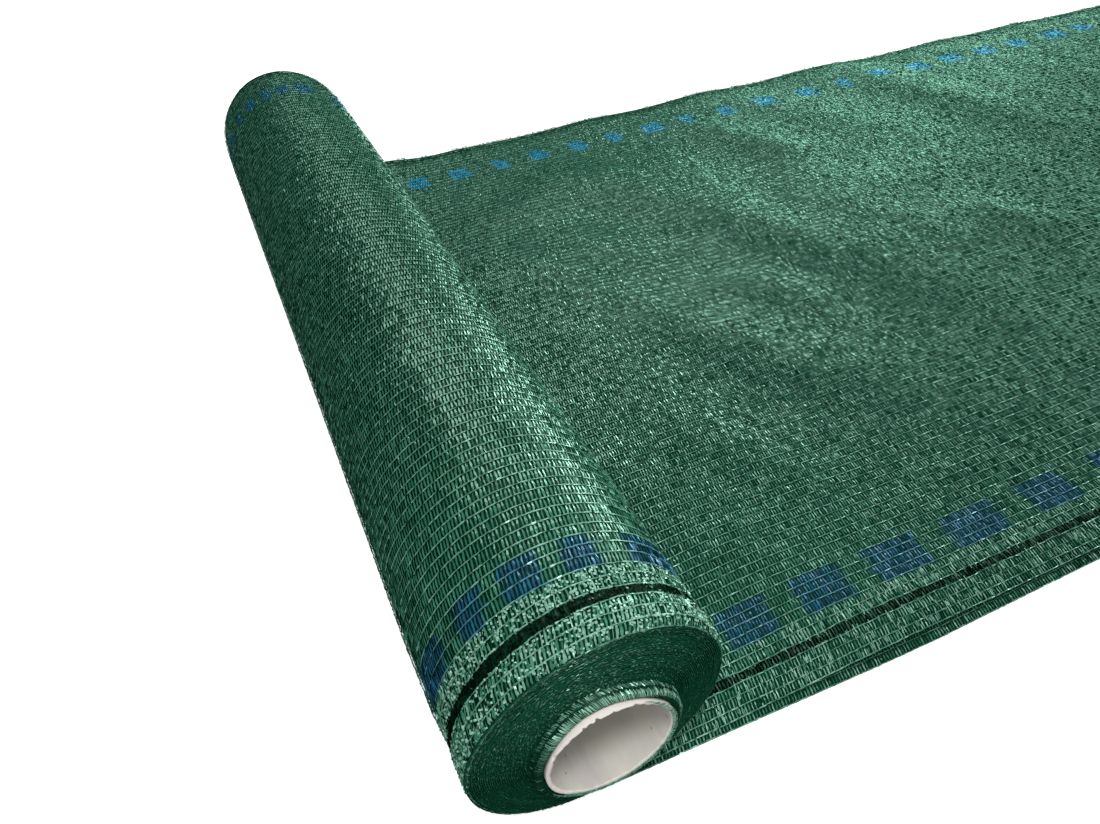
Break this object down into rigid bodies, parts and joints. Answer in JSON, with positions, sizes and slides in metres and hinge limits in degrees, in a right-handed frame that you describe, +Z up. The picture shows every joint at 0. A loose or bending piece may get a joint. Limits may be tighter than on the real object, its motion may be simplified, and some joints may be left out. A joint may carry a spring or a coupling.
{
  "type": "shade net, part-unrolled roll",
  "caption": "Doubled green knitted shade net wound on a cardboard tube, its loose end laid out flat beside the roll.",
  "frame": {"origin": "on the ground under the middle of the roll, in the centre of the flat spot that it rests on", "axes": "+X along the unrolled net, away from the roll; +Y along the roll from its near end to its far end; +Z up"},
  "size_m": [1.7475, 1.028, 0.1737],
  "materials": {
    "green_net": "knitted flat plastic tapes, satin, dark green with rows of dark blue marks and one black course band",
    "cardboard": "matt grey-beige cardboard with a paler torn rim"
  },
  "bodies": {
    "root": {"cardboard_tube": "cardboard", "wound_roll": "green_net", "loose_end": "green_net"}
  },
  "joints": []
}
